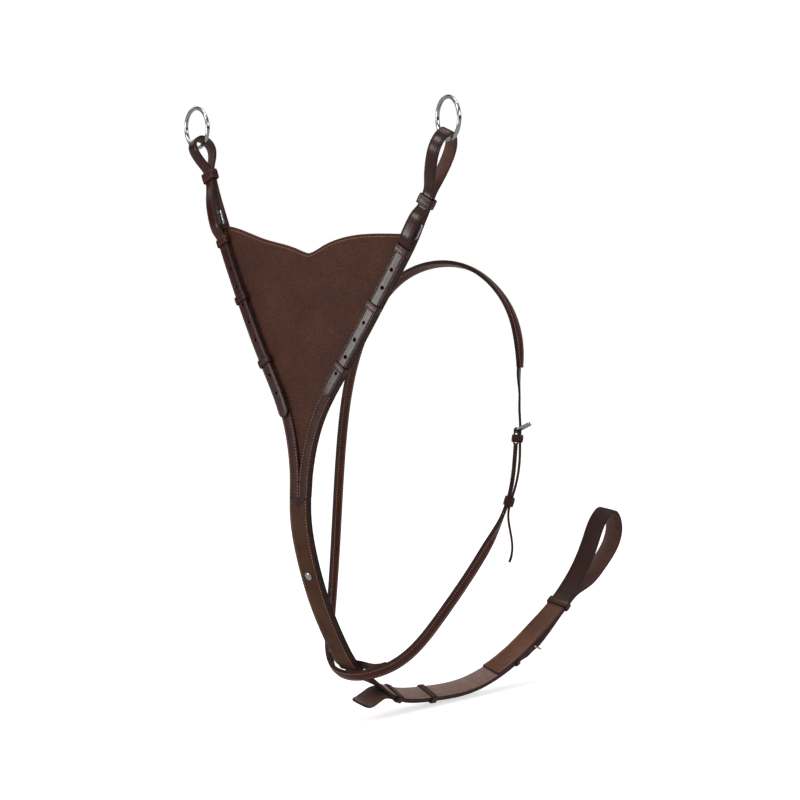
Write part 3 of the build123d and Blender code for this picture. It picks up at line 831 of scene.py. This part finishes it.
def bib_sheet(node, sheet, look):
    """A sheet of the bib with a rounded upper edge and the dip that its row of stitches pulls in."""
    rim = np.array([0.0, 0.12, 0.35, 0.7, 1.2, 1.8, 2.5, 2.9, 3.3, 3.7, 4.2, 5.0, 6.5, 9.0]) * MM
    height = sheet.high - sheet.low
    squeeze = np.clip(height / (40 * MM), 0, 1)[:, None]
    body = np.linspace(0, 1, 100)[None, 1:]
    below_rim = rim[-1] * squeeze + (height[:, None] - rim[-1] * squeeze) * body
    down = np.concatenate([rim[None] * squeeze, below_rim], 1)
    z = sheet.high[:, None] - down
    x = np.repeat(sheet.columns[:, None], z.shape[1], 1)
    half = sheet.thickness / 2
    rounded = half * np.sqrt(1 - (1 - np.clip(down / (0.7 * MM), 0, 1)) ** 2)
    dip = 0.40 * MM * np.exp(-((down - BIB_ROW) / (0.8 * MM)) ** 2)
    front = sheet.point(x, z, rounded - dip)
    back = sheet.point(x, z, -rounded)
    columns, rows = z.shape
    corners = np.concatenate([front.reshape(-1, 3), back.reshape(-1, 3)])
    faces, parts = [], []
    for i in range(columns - 1):
        for j in range(rows - 1):
            a, b = i * rows + j, (i + 1) * rows + j
            faces.append((a, a + 1, b + 1, b))
            parts.append(EDGE if j < 3 else GRAIN)
            a, b = (a + columns * rows, b + columns * rows) if j else (a, b)
            lower = i * rows + j + columns * rows
            faces.append((b, lower + rows + 1, lower + 1, a))
            parts.append(EDGE if j < 3 else FLESH)
        foot = i * rows + rows - 1
        faces.append((foot, foot + columns * rows, foot + rows + columns * rows, foot + rows))
        parts.append(EDGE)
    materials = [look.grain, bib_edge, look.flesh]
    piece(node + "_leather", corners, faces, materials, parts, np.zeros(len(corners)), node)


def bib_stitches(sheet, thread, span):
    """The row of stitches along the top of the bib."""
    x = sheet.columns[abs(sheet.columns) < span]
    edge = np.interp(x, sheet.columns, sheet.high)
    slope = np.gradient(edge, x)
    z = edge - BIB_ROW * np.sqrt(1 + slope ** 2)
    lift = np.full(len(x), sheet.thickness / 2 - 0.25 * MM)
    thread.path(sheet.point(x, z, lift), sheet.out(x, z))


# ---------- metal

RING_TURNS, WIRE_TURNS = 128, 24


def ring(node):
    """A rein ring turned again with a fine surface, where its CAD node is."""
    corners = node_mesh(node)[0]
    middle = (corners.max(0) + corners.min(0)) / 2
    for _ in range(3):
        reach = np.linalg.norm(corners - middle, axis=1)
        middle = middle + (corners[reach > reach.max() * 0.9].mean(0) - middle)
    normal = np.linalg.svd(corners - middle, full_matrices=False)[2][2]
    wire = abs((corners - middle) @ normal).max()
    radius = np.linalg.norm(corners - middle, axis=1).max() - wire
    side = unit(np.cross(normal, [0, 0, 1.0]))
    up = np.cross(side, normal)
    points = []
    for turn in full_turn(RING_TURNS):
        spoke = side * math.cos(turn) + up * math.sin(turn)
        for roll in full_turn(WIRE_TURNS):
            points.append(middle + spoke * (radius + wire * math.cos(roll)) + normal * wire * math.sin(roll))
    faces = grid_faces(RING_TURNS, WIRE_TURNS, is_ring=True)
    piece(node + "_steel", points, faces, [polished_steel], node=node)


def polish(node):
    """Gives a CAD metal part its finish."""
    obj = frame["nodes"][node]
    obj.data.materials.clear()
    obj.data.materials.append(polished_steel)


# ---------- the martingale

burnished_edge = edge_paint()
waxed_thread = thread_material()
polished_steel = steel_material()
dark_leather = leather("dark_leather", tone(46, 17, 11), tone(70, 29, 19), 0.26, 0.45)
fork_leather = leather("fork_leather", tone(50, 23, 15), tone(70, 34, 23), 0.45, 0.05)
bib_leather = leather("bib_leather", tone(74, 41, 29), tone(90, 53, 39), 0.58, 0.0, (430, 0.9), 0.0)
chest_leather = leather("chest_leather", tone(66, 36, 21), tone(94, 58, 36), 0.52, 0.03)
neck_leather = leather("neck_leather", tone(58, 25, 16), tone(86, 41, 27), 0.32, 0.22)
girth_top_leather = leather("girth_top_leather", tone(80, 44, 24), tone(114, 69, 39), 0.46, 0.06,
                            far=(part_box("girth_runner")[0].y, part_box("girth_runner")[1].y, tone(46, 22, 17)))
keeper_leather = leather("keeper_leather", tone(50, 22, 14), tone(78, 38, 25), 0.28, 0.30)
bib_edge = leather("bib_edge", tone(66, 42, 24), tone(92, 62, 36), 0.55, 0.05, edge_dark=0.0)
flesh_brown = flesh_side("flesh_brown", tone(72, 38, 26), tone(98, 58, 42))
flesh_pink = flesh_side("flesh_pink", tone(104, 74, 64), tone(136, 104, 92))

fork_look = Look(fork_leather, flesh_brown, channels=(2.0,), crown=0.25)
billet_look = Look(dark_leather, flesh_brown, creases=(1.7,), crown=0.1)
plain_look = Look(neck_leather, flesh_brown, channels=(2.0,), crown=0.15)
chest_look = Look(chest_leather, flesh_brown, channels=(2.2,), crown=0.2)
core_look = Look(dark_leather, flesh_brown)
raised_look = Look(neck_leather, flesh_brown, channels=(2.2,), crown=0.9)
girth_look = Look(chest_leather, flesh_pink, channels=(2.4,))
loop_look = Look(girth_top_leather, flesh_brown, channels=(2.4,), crown=0.2)
bib_look = Look(bib_leather, flesh_brown)

front_thread = Thread("bib_and_fork_stitches", "bib_and_fork")
neck_thread = Thread("neck_loop_stitches", "neck_loop")
girth_thread = Thread("girth_stitches", "girth_piece")

FRONT = np.array([0, -0.3, 0])
BACK = -FRONT
join_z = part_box("fork_leg_left")[0].z
join_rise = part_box("chest_strap")[1].z - join_z
join_half = (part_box("chest_strap")[1].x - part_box("chest_strap")[0].x) / 2
JOIN_OVERLAP = 14 * MM


def above_join(place, gap=0.0):
    """Whether a place lies above the pointed join of the fork and the chest strap."""
    return place[2] > join_z + join_rise * abs(place[0]) / join_half + gap


def join_cutter(z, limit):
    """A cutter of all that lies between the pointed join, at height z in its middle, and a level limit."""
    far, far_z = 3 * join_half, z + 3 * join_rise
    outline = [(0, 0, z), (far, 0, far_z), (far, 0, limit), (-far, 0, limit), (-far, 0, far_z)]
    return prism(outline, np.array([0, -0.2, 0]), np.array([0, 0.1, 0]))


def half_cutter(side):
    """Everything on the other side of the middle plane."""
    near, far = side * 0.15 * MM, side * (0.15 * MM - 0.3)
    outline = [(near, 0, -0.2), (far, 0, -0.2), (far, 0, 0.8), (near, 0, 0.8)]
    return prism(outline, np.array([0, -0.3, 0]), np.array([0, 0.3, 0]))


def longer(course, amount):
    """A course carried straight on past its last point."""
    last = course.points[-1] + unit(course.points[-1] - course.points[-3]) * amount
    points, across = np.vstack([course.points, last]), np.vstack([course.across, course.across[-1]])
    return Course(points, across, course.width, course.thickness)


def fork_layer(node, name, side, thickness, look, facing):
    """One layer of a fork leg, cut at the middle and at the join, with its two rows of stitches."""
    course = run_from(trace(node, FORK_WIDTH, thickness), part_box("fork_buckle_chape_" + name)[1])
    face_toward(course, course.points[20] + facing)
    course = longer(course, JOIN_OVERLAP)
    obj = strap(node, course, look)
    carve(obj, [half_cutter(side)])
    carve(obj, [join_cutter(join_z, -0.2)])
    inside = lambda place: abs(place[0]) > 1.4 * MM and above_join(place, 1.6 * MM)
    for edge in (-1, 1):
        front_thread.row(course, FORK_SEAM, edge, start=2 * MM, keep=inside)
    return obj, course


def build_fork_leg(name, side):
    obj, leg = fork_layer("fork_leg_" + name, name, side, FACE_LEATHER, fork_look, FRONT)
    slit = np.array([0, leg.points[-1][1], join_z + 26 * MM])
    rim = [slit + np.array([math.cos(t), 0, math.sin(t)]) * PUNCH / 2 for t in full_turn(24)]
    carve(obj, [prism(rim, FRONT * 0.03, BACK * 0.03)])
    front_thread.bar(leg, 3 * MM, FORK_SEAM)
    fork_layer("fork_lining_" + name, name, side, LINING_LEATHER, plain_look, BACK)
    for place in ("lower", "middle", "upper"):
        band("fork_keeper_" + place + "_" + name, leg)
    chape("fork_buckle_chape_" + name, joints["fork_buckle_tilt_" + name], fork_look)

    billet = trace("ring_strap_" + name, FORK_WIDTH, RING_STRAP_LEATHER)
    billet = run_from(billet, leg.points[40] + BACK * 0.05)
    face_toward(billet, billet.points[-10] + FRONT * 0.1)
    obj = strap("ring_strap_" + name, billet, billet_look, rounded=True)
    carve(obj, hole_cutters("ring_strap_" + name, billet))
    up_to_ring = longer(leg.turned(), 90 * MM)
    band("ring_runner_" + name, up_to_ring, wall=1.25 * MM)
    ring("ring_" + name)


def build_bib():
    front, lining = Sheet("bib_front"), Sheet("bib_lining")
    bib_sheet("bib_front", front, bib_look)
    bib_sheet("bib_lining", lining, Look(flesh_brown, flesh_brown))
    bib_stitches(front, front_thread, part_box("bib_front")[1].x - 12 * MM)


def build_chest_strap():
    face = run_from(trace("chest_strap", CHEST_WIDTH, FACE_LEATHER), (0, 0, 0.3))
    face_toward(face, face.points[20] + FRONT)
    lining = run_from(trace("chest_lining", CHEST_WIDTH, LINING_LEATHER), (0, 0, -0.3))
    face_toward(lining, lining.points[60] + BACK)
    face, lining = longer(face.turned(), JOIN_OVERLAP), longer(lining, JOIN_OVERLAP)
    for node, course, look in (("chest_strap", face, chest_look), ("chest_lining", lining, plain_look)):
        obj = strap(node, course, look)
        carve(obj, [join_cutter(join_z - 0.15 * MM, 0.7)])
        for edge in (-1, 1):
            front_thread.row(course, WIDE_SEAM, edge, keep=lambda place: not above_join(place, -2.0 * MM))
    strap("chest_core", trace("chest_core", CHEST_WIDTH, CHEST_CORE_LEATHER), core_look)


def build_neck_strap():
    buckle = np.array(joints["neck_buckle_tilt"]["pos_m"])
    face = trace("neck_strap", NECK_WIDTH, NECK_FACE_LEATHER)
    lining = trace("neck_lining", NECK_WIDTH, LINING_LEATHER)
    face_from(face, lining)
    face_from(lining, face)
    face, lining = run_from(face, buckle), run_from(lining, buckle)
    raised_from = face.nearest((buckle[0], buckle[1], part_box("neck_billet")[0].z)) + 10 * MM
    crown = lambda spots: np.clip((spots - raised_from) / (30 * MM), 0, 1)
    strap("neck_strap", face, raised_look, crown=crown)
    strap("neck_lining", lining, plain_look)

    billet = run_from(trace("neck_billet", NECK_BILLET_WIDTH, FACE_LEATHER), buckle + np.array([0, 0, 0.07]))
    face_toward(billet, billet.points[-10] + np.array([0.1, 0, 0]))
    obj = strap("neck_billet", billet, billet_look, rounded=True)
    carve(obj, hole_cutters("neck_billet", billet))
    slot_loop = trace("neck_slot_loop", NECK_WIDTH, LINING_LEATHER)
    face_from(slot_loop, lining)
    strap("neck_slot_loop", slot_loop, plain_look)
    for course, inset in ((face, WIDE_SEAM), (lining, FORK_SEAM), (slot_loop, FORK_SEAM)):
        for edge in (-1, 1):
            neck_thread.row(course, inset, edge)
    band("neck_keeper", face)
    band("neck_runner", face)
    chape("neck_buckle_chape", joints["neck_buckle_tilt"], billet_look)


def build_girth_piece():
    under = run_from(trace("girth_strap", GIRTH_WIDTH, GIRTH_LEATHER), (0, 0, 0))
    face_toward(under, under.points[80] + np.array([0, 0, -0.3]))
    square_end = np.array(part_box("girth_keeper_buckle")[0]) + np.array([0, -0.04, 0.02])
    loop = run_from(trace("girth_loop_strap", GIRTH_WIDTH, FACE_LEATHER), square_end)
    face_toward(loop, loop.points[12] + np.array([0, 0, 0.1]))
    strap("girth_strap", under, girth_look)
    obj = strap("girth_loop_strap", loop, loop_look, rounded=True)
    carve(obj, hole_cutters("girth_loop_strap", loop))
    sewn = min(loop.nearest(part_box("girth_buckle_frame")[0]), 80 * MM)
    for edge in (-1, 1):
        girth_thread.row(loop, GIRTH_SEAM, edge, end=sewn)
        girth_thread.row(under, GIRTH_SEAM, edge, grain=False)
    for place in ("front", "rear", "buckle"):
        band("girth_keeper_" + place, under)
    band("girth_runner", loop)
    chape("girth_buckle_chape", joints["girth_buckle_tilt"], girth_look)


build_bib()
build_fork_leg("left", 1)
build_fork_leg("right", -1)
build_chest_strap()
build_neck_strap()
build_girth_piece()
for thread in (front_thread, neck_thread, girth_thread):
    thread.sew()
for node, material_slot in slots.items():
    if material_slot == "bright_metal" and not node.startswith("ring_"):
        polish(node)


# ---------- studio

def paper_with_painted_reflection():
    """Pale paper. Polished parts see a painted reflection in it instead: it glows with light and dark stripes for
    reflected rays only, which gives metal its shape.
    """
    nodes = Nodes("paper_with_painted_reflection")
    rays = nodes.add("ShaderNodeLightPath").outputs
    glow = nodes.math("MULTIPLY", rays["Is Camera Ray"], 0.55)
    nodes.set(Base_Color=tone(240, 240, 240), Roughness=0.9, Specular_IOR_Level=0.0,
              Emission_Color=tone(255, 255, 255), Emission_Strength=glow)
    # Painted reflection: stripes of glow by height, seen only by reflected rays, stand in for a studio's lamps and
    # dark flags.
    height = nodes.axis(nodes.add("ShaderNodeNewGeometry").outputs["Position"], "Z")
    share = nodes.add("ShaderNodeMapRange", {"Value": height, "From Min": -0.2, "From Max": 6.0}).outputs[0]
    painted_reflection_stripes = nodes.ramp(share, (0.0, (0.20, 0.18, 0.17)), (0.03, (0.50, 0.50, 0.50)),
                       (0.09, (0.02, 0.02, 0.02)), (0.36, (0.04, 0.04, 0.045)), (0.46, (1.0, 1.0, 1.0)),
                       (0.56, (0.9, 0.93, 1.0)), (0.66, (0.05, 0.05, 0.06)))
    painted_reflection_glow = nodes.add("ShaderNodeEmission", {"Color": painted_reflection_stripes, "Strength": 0.9}).outputs[0]
    mixed = {0: rays["Is Glossy Ray"], 1: nodes.shader.outputs[0], 2: painted_reflection_glow}
    surface = nodes.add("ShaderNodeMixShader", mixed)
    output = nodes.tree.nodes["Material Output"]
    nodes.tree.links.new(surface.outputs[0], output.inputs["Surface"])
    return nodes.material


def build_stage():
    """A pale round floor that rises into a backdrop on every side."""
    low = bounds_at_load[0][2] - 4 * MM
    outline = [(0.02, 0.0), (2.0, 0.0), (5.0, 0.0)]
    outline += [(5.0 + 2.5 * math.sin(t), 2.5 - 2.5 * math.cos(t)) for t in np.linspace(0.1, math.pi / 2, 16)]
    outline += [(7.5, 9.0)]
    count = 96
    corners = [(r * math.cos(t), r * math.sin(t), low + z) for r, z in outline for t in full_turn(count)]
    faces = [tuple(range(count))] + [face[::-1] for face in grid_faces(len(outline), count)]
    mesh = bpy.data.meshes.new("studio_floor")
    mesh.from_pydata(corners, [], faces)
    mesh.polygons.foreach_set("use_smooth", [True] * len(mesh.polygons))
    mesh.materials.append(paper_with_painted_reflection())
    floor = bpy.data.objects.new("studio_floor", mesh)
    bpy.context.scene.collection.objects.link(floor)


def soft_light(name, place, aim, size, power):
    light = bpy.data.lights.new(name, "AREA")
    light.shape, light.size, light.energy = "SQUARE", size, power
    obj = bpy.data.objects.new(name, light)
    bpy.context.scene.collection.objects.link(obj)
    obj.location = place
    obj.rotation_euler = (Vector(aim) - Vector(place)).to_track_quat("-Z", "Y").to_euler()


def build_studio():
    build_stage()
    soft_light("key", (-0.6, -3.6, 3.0), (0, 0.1, 0.3), 1.6, 48)
    soft_light("sheen", (-1.55, -2.75, 0.45), (0, 0, 0.4), 0.8, 18)
    soft_light("side", (3.8, -0.4, 2.2), (0, 0.1, 0.3), 1.4, 30)
    soft_light("top", (0.2, 0.8, 4.2), (0, 0.1, 0.3), 2.4, 40)
    world = bpy.data.worlds.new("studio_world")
    world.use_nodes = True
    world.node_tree.nodes["Background"].inputs["Color"].default_value = (1, 1, 1, 1)
    world.node_tree.nodes["Background"].inputs["Strength"].default_value = 0.5
    bpy.context.scene.world = world
    bpy.context.scene.view_settings.view_transform = "Standard"


def build_camera():
    azimuth, elevation = math.radians(42), math.radians(6)
    data = bpy.data.cameras.new("camera")
    data.lens, data.sensor_width = 135, 36
    camera = bpy.data.objects.new("camera", data)
    bpy.context.scene.collection.objects.link(camera)
    camera.location = (2.215, -2.381, 0.638)
    camera.rotation_euler = (math.pi / 2 - elevation, 0, azimuth)
    bpy.context.scene.camera = camera


build_studio()
build_camera()
